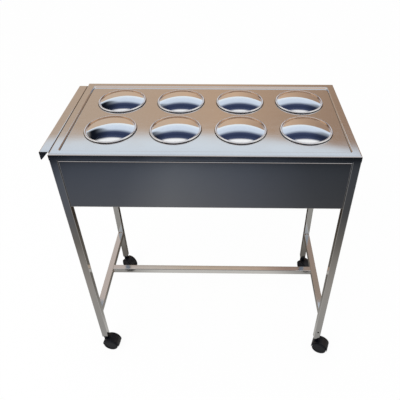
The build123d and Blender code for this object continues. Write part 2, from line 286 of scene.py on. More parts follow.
def node(tree, kind, inputs=None, stops=None, **settings):
    """Adds one node with its settings and links. An input is a value, a socket, or a node for its
    first output. Stops are a ramp's places, in rising order, and its hex colours."""
    made = tree.nodes.new("ShaderNode" + kind)
    for name, value in settings.items():
        setattr(made, name, value)
    for name, value in (inputs or {}).items():
        source = value.outputs[0] if isinstance(value, bpy.types.Node) else value
        if isinstance(source, bpy.types.NodeSocket):
            tree.links.new(source, made.inputs[name])
        else:
            made.inputs[name].default_value = source
    for i, (place, shade) in enumerate((stops or {}).items()):
        elements = made.color_ramp.elements
        element = elements[i] if i < 2 else elements.new(place)
        element.position = place
        element.color = rgba(linear(shade))
    return made


def spread(stops):
    """Stops moved to the range from 0 to 1, with the lowest and the highest place that they had."""
    low, high = min(stops), max(stops)
    return {(place - low) / (high - low): shade for place, shade in stops.items()}, low, high


def per(millimetres):
    """Texture scale at which a pattern repeats about once in that length."""
    return 1 / (millimetres * MM)


def new_material(name):
    """Empty node material and its tree."""
    material = bpy.data.materials.new(name)
    material.use_nodes = True
    material.node_tree.nodes.clear()
    return material, material.node_tree


def steel(
    name, tint, rough, vary, grain_mm, grain_way, wave_mm, wave_depth_mm, lean=0, groove_reflection=None, rim=0
):
    """Stainless steel. The stretched grain gives the lines that rolling or polishing leaves, drawn
    coarser than they are so that they show. The wave bends reflections as thin sheet does, and the
    smudges vary the gloss as handling does. The lean turns the reflections a little to the front,
    as on a pressing that sits a little askew. A groove reflection is a tan reflection painted into
    the groove inside a round rim, whose width is a share of the radius."""
    material, tree = new_material(name)
    place = node(tree, "TexCoord").outputs["Object"]
    stretched = {"Vector": place, "Scale": [per(grain_mm) * way for way in grain_way]}
    stretched = node(tree, "Mapping", stretched)
    lines = node(tree, "TexNoise", {"Vector": stretched, "Scale": 1, "Detail": 3, "Roughness": 0.6})
    smudge_mm = 60
    smudge = node(tree, "TexNoise", {"Vector": place, "Scale": per(smudge_mm), "Detail": 4})
    wave = node(tree, "TexNoise", {"Vector": place, "Scale": per(wave_mm), "Detail": 1})
    # Noise values at which smudges begin and are full
    begin, full = 0.35, 0.7
    dull = {VALUE: smudge, FROM_MIN: begin, FROM_MAX: full}
    dull |= {TO_MIN: rough - vary, TO_MAX: rough + vary}
    dull = node(tree, "MapRange", dull)
    fine = {VALUE: lines, FROM_MIN: NOISE_LOW, FROM_MAX: NOISE_HIGH, TO_MIN: -vary, TO_MAX: vary}
    fine = node(tree, "MapRange", fine)
    roughness = node(tree, "Math", {0: dull, 1: fine}, operation="ADD", use_clamp=True)
    darkest = 0.95
    shade = {VALUE: lines, FROM_MIN: NOISE_LOW, FROM_MAX: NOISE_HIGH, TO_MIN: darkest}
    shade = node(tree, "MapRange", shade)
    base = node(tree, "VectorMath", {0: tint, 1: shade}, operation="MULTIPLY")
    if groove_reflection:
        # Painted reflection in the groove: begins, is full, fades and ends at these rim widths from
        # the edge
        begin, full, fade, end = 1.08, 1, 0.77, 0.67
        box = node(tree, "TexCoord").outputs["Generated"]
        across = {"Vector": box, "Location": (-1, -1, 0), "Scale": (2, 2, 0)}
        across = node(tree, "Mapping", across)
        out = node(tree, "VectorMath", {0: across}, operation="LENGTH").outputs["Value"]
        inner = {VALUE: out, FROM_MIN: 1 - rim * begin, FROM_MAX: 1 - rim * full}
        outer = {VALUE: out, FROM_MIN: 1 - rim * end, FROM_MAX: 1 - rim * fade}
        inner = node(tree, "MapRange", inner)
        outer = node(tree, "MapRange", outer)
        groove = node(tree, "Math", {0: inner, 1: outer}, operation="MULTIPLY")
        base = {FACTOR: groove, MIX_A: base, MIX_B: rgba(groove_reflection)}
        base = node(tree, "Mix", base, data_type="RGBA").outputs[MIX_RESULT]
    facing = node(tree, "NewGeometry").outputs["Normal"]
    if lean:
        facing = node(tree, "VectorMath", {0: facing, 1: FRONT * lean}, operation="ADD")
    bent = {"Height": wave, "Strength": 1, "Distance": wave_depth_mm * MM, "Normal": facing}
    bent = node(tree, "Bump", bent)
    surface = {"Base Color": base, "Metallic": 1, "Roughness": roughness, "Normal": bent}
    node(tree, "OutputMaterial", {"Surface": node(tree, "BsdfPrincipled", surface)})
    return material


def spun_steel(name, tint, rough, size, pitch_mm, bloom_mm):
    """Spun stainless steel: turning lines about the pot's middle, which catch the light as arcs,
    and a dull bloom in patches. The lines are drawn coarser than a lathe leaves them, so that they
    show."""
    material, tree = new_material(name)
    box = node(tree, "TexCoord").outputs["Generated"]
    centred = node(tree, "VectorMath", {0: box, 1: (0.5, 0.5, 0.5)}, operation="SUBTRACT")
    metres = node(tree, "VectorMath", {0: centred, 1: size}, operation="MULTIPLY")
    rings = {"Vector": metres, "Scale": WAVE_PERIOD * per(pitch_mm), "Distortion": 0.1, "Detail": 0}
    rings = node(tree, "TexWave", rings, wave_type="RINGS", rings_direction="SPHERICAL")
    rings = rings.outputs["Fac"]
    bloom = node(tree, "TexNoise", {"Vector": metres, "Scale": per(bloom_mm), "Detail": 1})
    vary, darkest = 0.03, 0.96
    roughness = {VALUE: bloom, FROM_MIN: NOISE_LOW, FROM_MAX: NOISE_HIGH}
    roughness |= {TO_MIN: rough - vary, TO_MAX: rough + vary}
    roughness = node(tree, "MapRange", roughness)
    shade = node(tree, "MapRange", {VALUE: rings, TO_MIN: darkest})
    base = node(tree, "VectorMath", {0: tint, 1: shade}, operation="MULTIPLY")
    bumped = node(tree, "Bump", {"Height": rings, "Strength": 0.3, "Distance": 0.02 * MM})
    surface = {"Base Color": base, "Metallic": 1, "Roughness": roughness, "Normal": bumped}
    node(tree, "OutputMaterial", {"Surface": node(tree, "BsdfPrincipled", surface)})
    return material


def moulded_nylon(name, tint, scuff, rough, grain_mm, patch_mm):
    """Moulded nylon: a sparked grain, drawn coarser than it is, softens its highlights, and dust
    and scuffs grey it in patches."""
    material, tree = new_material(name)
    place = node(tree, "TexCoord").outputs["Object"]
    grain = node(tree, "TexNoise", {"Vector": place, "Scale": per(grain_mm), "Detail": 2})
    patch = {"Vector": place, "Scale": per(patch_mm), "Detail": 5, "Roughness": 0.65}
    patch = node(tree, "TexNoise", patch)
    # Noise values at which scuffs begin and are full, and how far they cover the nylon
    begin, full, cover = 0.52, 0.8, 0.6
    worn = {VALUE: patch, FROM_MIN: begin, FROM_MAX: full, TO_MAX: cover}
    worn = node(tree, "MapRange", worn)
    base = {FACTOR: worn, MIX_A: rgba(tint), MIX_B: rgba(scuff)}
    base = node(tree, "Mix", base, data_type="RGBA").outputs[MIX_RESULT]
    # Noise values at which the gloss begins to go and is lowest, and the roughness that adds
    begin, full, dull = 0.3, 0.75, 0.18
    roughness = {VALUE: patch, FROM_MIN: begin, FROM_MAX: full}
    roughness |= {TO_MIN: rough, TO_MAX: rough + dull}
    roughness = node(tree, "MapRange", roughness)
    bumped = node(tree, "Bump", {"Height": grain, "Strength": 0.5, "Distance": 0.05 * MM})
    surface = {"Base Color": base, "Roughness": roughness, "Normal": bumped}
    surface |= {"IOR": 1.53, "Specular IOR Level": 0.3}
    node(tree, "OutputMaterial", {"Surface": node(tree, "BsdfPrincipled", surface)})
    return material


def plated_metal(name, tint, rough, grain_mm):
    """Plated or cast small metal: a faint crystalline mottle in its colour and gloss, drawn coarser
    than it is so that it shows."""
    material, tree = new_material(name)
    place = node(tree, "TexCoord").outputs["Object"]
    mottle = node(tree, "TexVoronoi", {"Vector": place, "Scale": per(grain_mm)}).outputs["Color"]
    grey = node(tree, "RGBToBW", {"Color": mottle})
    darkest, glossier, duller = 0.84, 0.05, 0.07
    shade = node(tree, "MapRange", {VALUE: grey, TO_MIN: darkest})
    base = node(tree, "VectorMath", {0: tint, 1: shade}, operation="MULTIPLY")
    roughness = {VALUE: grey, TO_MIN: rough - glossier, TO_MAX: rough + duller}
    roughness = node(tree, "MapRange", roughness)
    bumped = node(tree, "Bump", {"Height": grey, "Strength": 0.2, "Distance": 0.02 * MM})
    surface = {"Base Color": base, "Metallic": 1, "Roughness": roughness, "Normal": bumped}
    node(tree, "OutputMaterial", {"Surface": node(tree, "BsdfPrincipled", surface)})
    return material


def weld_steel(name, tint, heat, patch_mm):
    """Weld metal: steel with straw and brown heat tint in patches, and a dull skin."""
    material, tree = new_material(name)
    place = node(tree, "TexCoord").outputs["Object"]
    patch = node(tree, "TexNoise", {"Vector": place, "Scale": per(patch_mm), "Detail": 3})
    # Noise values at which the tint begins and is full, and the skin's roughness
    begin, full, glossiest, dullest = 0.35, 0.62, 0.22, 0.5
    burnt = node(tree, "MapRange", {VALUE: patch, FROM_MIN: begin, FROM_MAX: full})
    base = {FACTOR: burnt, MIX_A: rgba(tint), MIX_B: rgba(heat)}
    base = node(tree, "Mix", base, data_type="RGBA").outputs[MIX_RESULT]
    roughness = node(tree, "MapRange", {VALUE: patch, TO_MIN: glossiest, TO_MAX: dullest})
    surface = {"Base Color": base, "Metallic": 1, "Roughness": roughness}
    node(tree, "OutputMaterial", {"Surface": node(tree, "BsdfPrincipled", surface)})
    return material


def shade_line(name, tint, stroke_mm):
    """Soft dark line of painted shade for gaps and corners, a little uneven along its length."""
    material, tree = new_material(name)
    place = node(tree, "TexCoord").outputs["Object"]
    drawn = node(tree, "TexNoise", {"Vector": place, "Scale": per(stroke_mm), "Detail": 3})
    darkest, lightest, glossiest, dullest = 0.7, 1.15, 0.4, 0.65
    shade = {VALUE: drawn, FROM_MIN: NOISE_LOW, FROM_MAX: NOISE_HIGH}
    shade |= {TO_MIN: darkest, TO_MAX: lightest}
    shade = node(tree, "MapRange", shade)
    base = node(tree, "VectorMath", {0: tint, 1: shade}, operation="MULTIPLY")
    roughness = node(tree, "MapRange", {VALUE: drawn, TO_MIN: glossiest, TO_MAX: dullest})
    bumped = node(tree, "Bump", {"Height": drawn, "Strength": 0.4, "Distance": 0.1 * MM})
    surface = {"Base Color": base, "Roughness": roughness, "Normal": bumped, "IOR": 1.41}
    node(tree, "OutputMaterial", {"Surface": node(tree, "BsdfPrincipled", surface)})
    return material


def dress(material, *nodes):
    """Gives CAD nodes their material."""
    for name in nodes:
        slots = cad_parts[name].data.materials
        slots.clear()
        slots.append(material)


def add_object(name, mesh):
    """Object in the scene from a mesh."""
    made = bpy.data.objects.new(name, mesh)
    bpy.context.scene.collection.objects.link(made)
    return made


def fillet_ring(at, first, second, reach):
    """Section of a fillet in a corner: the corner, then an arc from one face to the other."""
    ring = [at]
    for k in range(ARC_STEPS + 1):
        turn = math.pi / 2 * k / ARC_STEPS
        ring.append(at + (first * math.cos(turn) + second * math.sin(turn)) * reach)
    return ring


def add_skin(shape, rings, closed=False):
    """Adds a skin through rings of points, capped at both ends unless it closes on itself."""
    rows = [[shape.verts.new(point) for point in ring] for ring in rings]
    if closed:
        rows.append(rows[0])
    else:
        shape.faces.new(rows[0])
        shape.faces.new(rows[-1])
    for before, after in zip(rows, rows[1:]):
        for k in range(len(before)):
            j = (k + 1) % len(before)
            shape.faces.new((before[k], before[j], after[j], after[k]))


def add_piece(name, shape, material):
    """Smooth piece of the frame from a finished shape."""
    bmesh.ops.recalc_face_normals(shape, faces=shape.faces)
    for face in shape.faces:
        face.smooth = True
    mesh = bpy.data.meshes.new(name)
    shape.to_mesh(mesh)
    shape.free()
    mesh.materials.append(material)
    piece = add_object(name, mesh)
    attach(piece, "frame")
    return piece


class TROLLEY_OT_dress_worktop(bpy.types.Operator):
    """Finish the worktop, the deck and the handle as rolled stainless sheet"""

    bl_idname = "trolley.dress_worktop"
    bl_label = "Worktop, deck and handle"

    def execute(self, context):
        f = context.scene.trolley_finishes
        rolled = steel(
            "Rolled stainless sheet", f.sheet, f.sheet_rough, vary=0.015,
            grain_mm=3, grain_way=(0.06, 1, 1), wave_mm=170, wave_depth_mm=0.3,
        )
        dress(rolled, "worktop", "deck", "side_handle")
        return {"FINISHED"}


class TROLLEY_OT_make_seams(bpy.types.Operator):
    """Lay dark lines of painted shade along the ends of the deck and along the handle, and black
    rings of painted shadow round the lids
    """

    bl_idname = "trolley.make_seams"
    bl_label = "Seams"

    def execute(self, context):
        w = context.scene.trolley_fittings
        f = context.scene.trolley_finishes
        # Brown lines of painted shade at the deck's ends and beside the handle
        brown = shade_line("Brown painted shade line", f.shade_line, stroke_mm=7)
        # Black rings of painted shadow under the lids' rims
        black = shade_line("Black painted shadow ring", f.plastic, stroke_mm=7)
        self.deck_seam(w, brown, -RIGHT)
        self.deck_seam(w, brown, RIGHT)
        self.handle_seam(w, brown)
        for place in PLACES:
            self.lid_shadow_ring(w, black, place)
        return {"FINISHED"}

    def lid_shadow_ring(self, w, material, place):
        """Black ring on the deck round a lid: painted shadow, standing for the dark gap under the
        lid's rim.
        """
        low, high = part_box(f"lid_{place}")
        middle = (low + high) / 2
        middle.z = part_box("deck")[1].z + w.shadow_ring / 2
        reach = (high.x - low.x) / 2 + w.shadow_ring
        rings = []
        for side in range(SHADOW_RING_SIDES):
            turn = 2 * math.pi * side / SHADOW_RING_SIDES
            out = Vector((math.cos(turn), math.sin(turn), 0))
            ring = []
            for k in range(2 * ARC_STEPS):
                lift = math.pi * k / ARC_STEPS
                around = out * math.cos(lift) + UP * math.sin(lift)
                ring.append(middle + out * reach + around * w.shadow_ring)
            rings.append(ring)
        shape = bmesh.new()
        add_skin(shape, rings, closed=True)
        add_piece(f"seal_{place}", shape, material)

    def deck_seam(self, w, material, out):
        """Dark line of painted shade along one end of the deck, in the corner against the step that
        leans out.
        """
        low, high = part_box("deck")
        x = (high.x if out.x > 0 else low.x) - out.x * w.seam_inset
        stop = w.seam_inset + w.seam_corner
        rise = UP * math.cos(w.step_lean) + out * math.sin(w.step_lean)
        ends = [Vector((x, y, high.z)) for y in (low.y + stop, high.y - stop)]
        shape = bmesh.new()
        add_skin(shape, [fillet_ring(end, -out, rise, w.seam) for end in ends])
        add_piece("seam_right" if out.x > 0 else "seam_left", shape, material)

    def handle_seam(self, w, material):
        """Dark line of painted shade in the groove between the folded edges of the handle and the
        worktop.
        """
        low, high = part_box("side_handle")

        def gap(radius, depth):
            """How far a fold stands back at a depth under its top."""
            return radius - math.sqrt(radius**2 - (radius - depth) ** 2)

        depths = (w.seam_depth, min(w.fold_top, w.fold_handle))
        rings = []
        for y in (low.y, high.y):
            left = [Vector((high.x - gap(w.fold_handle, d), y, high.z - d)) for d in depths]
            right = [Vector((high.x + gap(w.fold_top, d), y, high.z - d)) for d in depths]
            rings.append([left[0], right[0], right[1], left[1]])
        shape = bmesh.new()
        add_skin(shape, rings)
        add_piece("seam_handle", shape, material)


class TROLLEY_OT_dress_panels(bpy.types.Operator):
    """Finish the apron panels as satin stainless sheet"""

    bl_idname = "trolley.dress_panels"
    bl_label = "Apron panels"

    def execute(self, context):
        f = context.scene.trolley_finishes
        satin = steel(
            "Satin stainless sheet", f.panel, f.panel_rough, vary=0.01,
            grain_mm=2, grain_way=(0.03, 0.03, 1), wave_mm=220, wave_depth_mm=0.2,
        )
        dress(satin, "panel_front", "panel_rear", "panel_left", "panel_right")
        return {"FINISHED"}


class TROLLEY_OT_dress_frame(bpy.types.Operator):
    """Finish the legs, rails and stretchers as polished stainless tube"""

    bl_idname = "trolley.dress_frame"
    bl_label = "Tube frame"

    def execute(self, context):
        f = context.scene.trolley_finishes
        bars, sides = ("rail", "side_stretcher"), ("left", "right")
        runs = {
            ("upright", (1, 1, 0.03)): [f"leg_{corner}" for corner in CORNERS],
            ("along X", (0.03, 1, 1)): ["rail_front", "rail_rear", "cross_stretcher"],
            ("along Y", (1, 0.03, 1)): [f"{bar}_{side}" for bar in bars for side in sides],
        }
        for (run, grain_way), nodes in runs.items():
            polished = steel(
                f"Polished stainless tube, {run}", f.tube, f.tube_rough, vary=0.02,
                grain_mm=2, grain_way=grain_way, wave_mm=120, wave_depth_mm=0.12,
            )
            dress(polished, *nodes)
        return {"FINISHED"}


class TROLLEY_OT_make_welds(bpy.types.Operator):
    """Lay the fillet welds where the stretchers meet"""

    bl_idname = "trolley.make_welds"
    bl_label = "Welds"

    def execute(self, context):
        f = context.scene.trolley_finishes
        w = context.scene.trolley_fittings
        material = weld_steel("Weld metal with heat tint", f.tube, f.heat, patch_mm=5)
        for name, start, end, face, out in self.runs(w):
            shape = bmesh.new()
            add_skin(shape, self.rings(w, start, end, face, out))
            add_piece(name, shape, material)
        return {"FINISHED"}

    def runs(self, w):
        """Name, ends and the two faces of each weld."""
        for side in ("left", "right"):
            low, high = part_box(f"side_stretcher_{side}")
            inset = (high.x - low.x) * w.weld_margin
            for end, y, out in (("front", low.y, -FRONT), ("rear", high.y, FRONT)):
                for place, z, face in (("top", high.z, UP), ("under", low.z, -UP)):
                    a, b = Vector((low.x + inset, y, z)), Vector((high.x - inset, y, z))
                    yield f"weld_{side}_{end}_{place}", a, b, face, out
        low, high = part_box("cross_stretcher")
        inset = (high.z - low.z) * w.weld_margin
        for end, x, out in (("left", low.x, RIGHT), ("right", high.x, -RIGHT)):
            for place, y, face in (("front", low.y, FRONT), ("rear", high.y, -FRONT)):
                a, b = Vector((x, y, low.z + inset)), Vector((x, y, high.z - inset))
                yield f"weld_cross_{end}_{place}", a, b, face, out

    def rings(self, w, start, end, face, out):
        """Sections of a rippled bead that tapers at its ends."""
        # How fast a bead reaches its full size, and the share of it at the very ends
        swell, tip = 3, 0.05
        run = end - start
        fewest = 8
        steps = max(fewest, round(run.length / w.ripple) * RIPPLE_STEPS)
        rings = []
        for i in range(steps + 1):
            along = i / steps
            taper = min(1, math.sin(math.pi * along) * swell) ** 0.5 if 0 < along < 1 else tip
            wave = abs(math.sin(math.pi * along * run.length / w.ripple))
            reach = w.bead * taper * (1 - w.ripple_depth + w.ripple_depth * wave)
            rings.append(fillet_ring(start + run * along, face, out, reach))
        return rings


class TROLLEY_OT_dress_pots(bpy.types.Operator):
    """Finish the pots as spun steel and the lids as polished steel"""

    bl_idname = "trolley.dress_pots"
    bl_label = "Pots and lids"

    def execute(self, context):
        f = context.scene.trolley_finishes
        low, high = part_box(f"lid_{PLACES[0]}")
        lid_radius = (high.x - low.x) / 2
        rim = 2 * context.scene.trolley_fittings.rim / lid_radius
        for row, lean in (("front", f.lean_front), ("back", f.lean_back)):
            lid = steel(
                f"Mirror-polished stainless lid, {row}", f.lid, f.lid_rough, vary=0.01,
                grain_mm=8, grain_way=(1, 1, 1), wave_mm=45, wave_depth_mm=0.1,
                lean=lean, groove_reflection=f.groove_reflection, rim=rim,
            )
            dress(lid, *[f"lid_{place}" for place in PLACES if place.startswith(row)])
        low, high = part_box(f"pot_{PLACES[0]}")
        pot = spun_steel(
            "Spun stainless pot", f.pot, f.pot_rough, size=high - low, pitch_mm=9, bloom_mm=60
        )
        dress(pot, *[f"pot_{place}" for place in PLACES])
        return {"FINISHED"}


class TROLLEY_OT_dress_casters(bpy.types.Operator):
    """Finish the casters and the leg inserts"""

    bl_idname = "trolley.dress_casters"
    bl_label = "Casters"

    def execute(self, context):
        f = context.scene.trolley_finishes
        hood = moulded_nylon(
            "Black moulded nylon", f.plastic, f.scuff, rough=0.3, grain_mm=0.8, patch_mm=14
        )
        wheel = moulded_nylon(
            "Black moulded wheel nylon", f.wheel, f.scuff, rough=0.34, grain_mm=1.1, patch_mm=14
        )
        zinc = plated_metal("Zinc-plated steel", f.zinc, rough=0.3, grain_mm=1.6)
        for corner in CORNERS:
            dress(hood, f"caster_hood_{corner}", f"leg_insert_{corner}")
            dress(wheel, f"caster_wheel_a_{corner}", f"caster_wheel_b_{corner}")
            dress(zinc, f"caster_stem_{corner}", f"caster_axle_{corner}")
        return {"FINISHED"}


class TROLLEY_OT_make_fasteners(bpy.types.Operator):
    """Finish the rivets and make the cross-recessed insert screws"""

    bl_idname = "trolley.make_fasteners"
    bl_label = "Fasteners"

    def execute(self, context):
        f = context.scene.trolley_finishes
        w = context.scene.trolley_fittings
        dress(plated_metal("Aluminium rivet", f.rivet, rough=0.35, grain_mm=1.2), "handle_rivets")
        points = [vertex.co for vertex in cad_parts["insert_screws"].data.vertices]
        shape = bmesh.new()
        for corner in CORNERS:
            low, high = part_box(f"leg_{corner}")
            middle, depth = (low + high) / 2, high.y - low.y
            near = [p for p in points if low.x < p.x < high.x and abs(p.y - middle.y) < depth]
            way = FRONT if min(p.y for p in near) < low.y else -FRONT
            z = (min(p.z for p in near) + max(p.z for p in near)) / 2
            face = Vector((middle.x, low.y if way == FRONT else high.y, z))
            add_skin(shape, self.rings(w, face, way))
        black = plated_metal("Blackened steel screw", f.screw, rough=0.4, grain_mm=1)
        piece = add_piece("screws", shape, black)
        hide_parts("insert_screws")
        return {"FINISHED"}

    def rings(self, w, face, way):
        """Rings of a screw from the middle of its head, over the edge and down its shank."""
        profile = [(w.screw_radius * i / SCREW_RINGS, None) for i in range(1, SCREW_RINGS + 1)]
        profile += [(w.screw_radius, 0), (w.shank_radius, 0), (w.shank_radius, -w.shank)]
        across = UP.cross(way)
        rings = []
        for radius, height in profile:
            ring = []
            for side in range(SCREW_SIDES):
                turn = 2 * math.pi * side / SCREW_SIDES
                x, y = radius * math.cos(turn), radius * math.sin(turn)
                out = self.head(w, x, y) if height is None else height
                ring.append(face + across * x + UP * y + way * out)
            rings.append(ring)
        return rings

    def head(self, w, x, y):
        """Height of the pan head with its cross recess."""
        # Share of the height at the edge, and how wide the recess's sloped sides and ends are
        edge, side_slope, end_slope = 0.4, 0.15 * MM, 0.3 * MM
        r = min(1, math.hypot(x, y) / w.screw_radius)
        dome = w.screw_head * (edge + (1 - edge) * math.sqrt(1 - r**4))
        narrow, far = min(abs(x), abs(y)), max(abs(x), abs(y))
        inside = min((w.recess_width / 2 - narrow) / side_slope, (w.recess_reach - far) / end_slope)
        return dome - w.recess * max(0, min(1, inside))


def looking(tree):
    """1 for rays of the camera, of gloss and through glass, which see the background as white."""
    paths = node(tree, "LightPath").outputs
    seen = {0: paths["Is Camera Ray"], 1: paths["Is Glossy Ray"]}
    seen = node(tree, "Math", seen, operation="MAXIMUM")
    return node(tree, "Math", {0: seen, 1: paths["Is Transmission Ray"]}, operation="MAXIMUM")


def sheet_mesh(name, points, columns):
    """Flat or bent sheet from rows of points, given row by row."""
    faces = []
    rows = len(points) // columns
    for r in range(rows - 1):
        for c in range(columns - 1):
            i = r * columns + c
            faces.append((i, i + 1, i + columns + 1, i + columns))
    mesh = bpy.data.meshes.new(name)
    mesh.from_pydata(points, [], faces)
    return mesh


def reflected(name, points, columns, material, place):
    """Studio cloth that only reflections show."""
    made = add_object(name, sheet_mesh(name, points, columns))
    made.location = place
    made.data.materials.append(material)
    for rays in ("camera", "diffuse", "transmission", "volume_scatter", "shadow"):
        setattr(made, f"visible_{rays}", False)


def tent_cloth(s):
    """Painted tent cloth: dark, white and grey bars across it, which the lids show as bands, and a
    tan lower part behind, which the deck shows. The dark bar comes down, black, at both ends, and
    the tan rises there. The far sides are pale."""
    material, tree = new_material("Painted tent cloth")
    place = node(tree, "TexCoord").outputs["Object"]
    way = node(tree, "VectorMath", {0: place}, operation="NORMALIZE")
    x, y, z = node(tree, "SeparateXYZ", {0: way}).outputs
    square = node(tree, "Math", {0: x, 1: x}, operation="MULTIPLY")
    turn = node(tree, "Math", {0: z, 1: y}, operation="ARCTAN2")
    turn = node(tree, "Math", {0: turn}, operation="DEGREES")
    over = node(tree, "Math", {0: turn, 1: 270, 2: -90}, operation="WRAP")
    stops, low, high = spread(TENT_BARS)
    along = node(tree, "MapRange", {VALUE: over, FROM_MIN: low, FROM_MAX: high})
    bars = node(tree, "ValToRGB", {0: along}, stops)
    # The dark bar's ends: shares of the radius between which they come down, degrees that they
    # come down, and the right end's share of that
    near, far, drop, weak = 0.3, 0.62, 13, 0.6
    left = node(tree, "MapRange", {VALUE: x, FROM_MIN: -near, FROM_MAX: -far}, **SOFT)
    right = {VALUE: x, FROM_MIN: near, FROM_MAX: far, TO_MAX: weak}
    right = node(tree, "MapRange", right, **SOFT)
    ends = node(tree, "Math", {0: left, 1: right}, operation="ADD")
    down = node(tree, "Math", {0: ends, 1: drop, 2: over}, operation="MULTIPLY_ADD")
    # Degrees at which their black begins, is full, fades and ends
    begin, full, fade, end = 51, 58, 70, 76
    lower = node(tree, "MapRange", {VALUE: down, FROM_MIN: begin, FROM_MAX: full}, **SOFT)
    upper = node(tree, "MapRange", {VALUE: over, FROM_MIN: end, FROM_MAX: fade}, **SOFT)
    dark = node(tree, "Math", {0: lower, 1: upper}, operation="MULTIPLY")
    dark = node(tree, "Math", {0: dark, 1: ends}, operation="MULTIPLY", use_clamp=True)
    bars = {FACTOR: dark, MIX_A: bars, MIX_B: rgba(s.tent_ends)}
    bars = node(tree, "Mix", bars, data_type="RGBA").outputs[MIX_RESULT]
    # The far sides: squares of the share at which they begin and are full
    begin, full = 0.42, 0.6
    sides = node(tree, "MapRange", {VALUE: square, FROM_MIN: begin, FROM_MAX: full}, **SOFT)
    bars = {FACTOR: sides, MIX_A: bars, MIX_B: rgba(s.tent_sides)}
    bars = node(tree, "Mix", bars, data_type="RGBA").outputs[MIX_RESULT]
    # The tan's edge: degrees that it rises to the sides and to the right, and its softness
    bow, slant, blur = 10, 2.2, 0.7
    stops, low, high = spread(TENT_TANS)
    across = node(tree, "MapRange", {VALUE: x, FROM_MIN: low, FROM_MAX: high})
    warm = node(tree, "ValToRGB", {0: across}, stops)
    edge = node(tree, "Math", {0: square, 1: -bow, 2: over}, operation="MULTIPLY_ADD")
    edge = node(tree, "Math", {0: x, 1: -slant, 2: edge}, operation="MULTIPLY_ADD")
    top = math.degrees(s.tan_top)
    tan = node(tree, "MapRange", {VALUE: edge, FROM_MIN: top + blur, FROM_MAX: top - blur}, **SOFT)
    painted = {FACTOR: tan, MIX_A: bars, MIX_B: warm}
    painted = node(tree, "Mix", painted, data_type="RGBA").outputs[MIX_RESULT]
    lit = node(tree, "Emission", {"Color": painted, "Strength": 1})
    node(tree, "OutputMaterial", {"Surface": lit})
    return material


def low_cloth(s):
    """Painted card that the stretchers' tops show: cream on the left and tan on the right. Its foot
    is dark between the rear legs, which show that on their inner sides, and its back is clear."""
    material, tree = new_material("Painted low card")
    place = node(tree, "TexCoord").outputs["Object"]
    x, _, z = node(tree, "SeparateXYZ", {0: place}).outputs
    stops, low, high = spread(CARD_SIDES)
    along = node(tree, "MapRange", {VALUE: x, FROM_MIN: low, FROM_MAX: high})
    side = node(tree, "ValToRGB", {0: along}, stops)
    # Metres from the middle to the foot's ends, and to where it begins and is full
    legs, begin, full = 0.41, -0.01, -0.05
    apart = node(tree, "Math", {0: x}, operation="ABSOLUTE")
    between = node(tree, "Math", {0: apart, 1: legs}, operation="LESS_THAN")
    lower = node(tree, "MapRange", {VALUE: z, FROM_MIN: begin, FROM_MAX: full})
    foot = node(tree, "Math", {0: lower, 1: between}, operation="MULTIPLY")
    painted = {FACTOR: foot, MIX_A: side, MIX_B: rgba(s.card_foot)}
    painted = node(tree, "Mix", painted, data_type="RGBA").outputs[MIX_RESULT]
    back = node(tree, "NewGeometry").outputs["Backfacing"]
    lit = node(tree, "Emission", {"Color": painted, "Strength": 1})
    clear = node(tree, "BsdfTransparent")
    node(tree, "OutputMaterial", {"Surface": node(tree, "MixShader", {0: back, 1: lit, 2: clear})})
    return material


def floor_cloth(s):
    """Painted floor cloth: dark in front, where the apron sees it, with a light patch under the
    trolley and a grey rim."""
    material, tree = new_material("Painted floor cloth")
    place = node(tree, "TexCoord").outputs["Object"]
    x, y, _ = node(tree, "SeparateXYZ", {0: place}).outputs
    stops, low, high = spread(FLOOR_DEPTHS)
    along = node(tree, "MapRange", {VALUE: y, FROM_MIN: low, FROM_MAX: high})
    depth = node(tree, "ValToRGB", {0: along}, stops)
    stops, low, high = spread(FLOOR_SIDES)
    across = node(tree, "MapRange", {VALUE: x, FROM_MIN: low, FROM_MAX: high})
    side = node(tree, "ValToRGB", {0: across}, stops)
    # The shade across: metres back at which it begins and is full
    begin, full = -0.6, -0.95
    ahead = node(tree, "MapRange", {VALUE: y, FROM_MIN: begin, FROM_MAX: full}, **SOFT)
    shaded = {FACTOR: ahead, MIX_A: depth, MIX_B: side}
    shaded = node(tree, "Mix", shaded, data_type="RGBA", blend_type="MULTIPLY").outputs[MIX_RESULT]
    # The light patch: metres back to its middle, half its width and depth, and the shares of
    # those at which it ends and is full
    middle, wide, deep, end, full = -0.14, 1 / 2.6, 0.1, 1.1, 0.6
    oval = {"Vector": place, "Location": (0, -middle / deep, 0), "Scale": (1 / wide, 1 / deep, 0)}
    oval = node(tree, "Mapping", oval)
    away = node(tree, "VectorMath", {0: oval}, operation="LENGTH").outputs["Value"]
    patch = node(tree, "MapRange", {VALUE: away, FROM_MIN: end, FROM_MAX: full}, **SOFT)
    painted = {FACTOR: patch, MIX_A: shaded, MIX_B: rgba(s.cloth_patch)}
    painted = node(tree, "Mix", painted, data_type="RGBA").outputs[MIX_RESULT]
    # The rim: metres to the sides, and then back, at which it begins and is full
    apart = node(tree, "Math", {0: x}, operation="ABSOLUTE")
    begin, full = 1.05, 1.3
    beside = node(tree, "MapRange", {VALUE: apart, FROM_MIN: begin, FROM_MAX: full}, **SOFT)
    begin, full = -1.6, -1.85
    before = node(tree, "MapRange", {VALUE: y, FROM_MIN: begin, FROM_MAX: full}, **SOFT)
    rim = node(tree, "Math", {0: beside, 1: before}, operation="MAXIMUM")
    painted = {FACTOR: rim, MIX_A: painted, MIX_B: rgba(s.cloth_rim)}
    painted = node(tree, "Mix", painted, data_type="RGBA").outputs[MIX_RESULT]
    lit = node(tree, "Emission", {"Color": painted, "Strength": 1})
    node(tree, "OutputMaterial", {"Surface": lit})
    return material


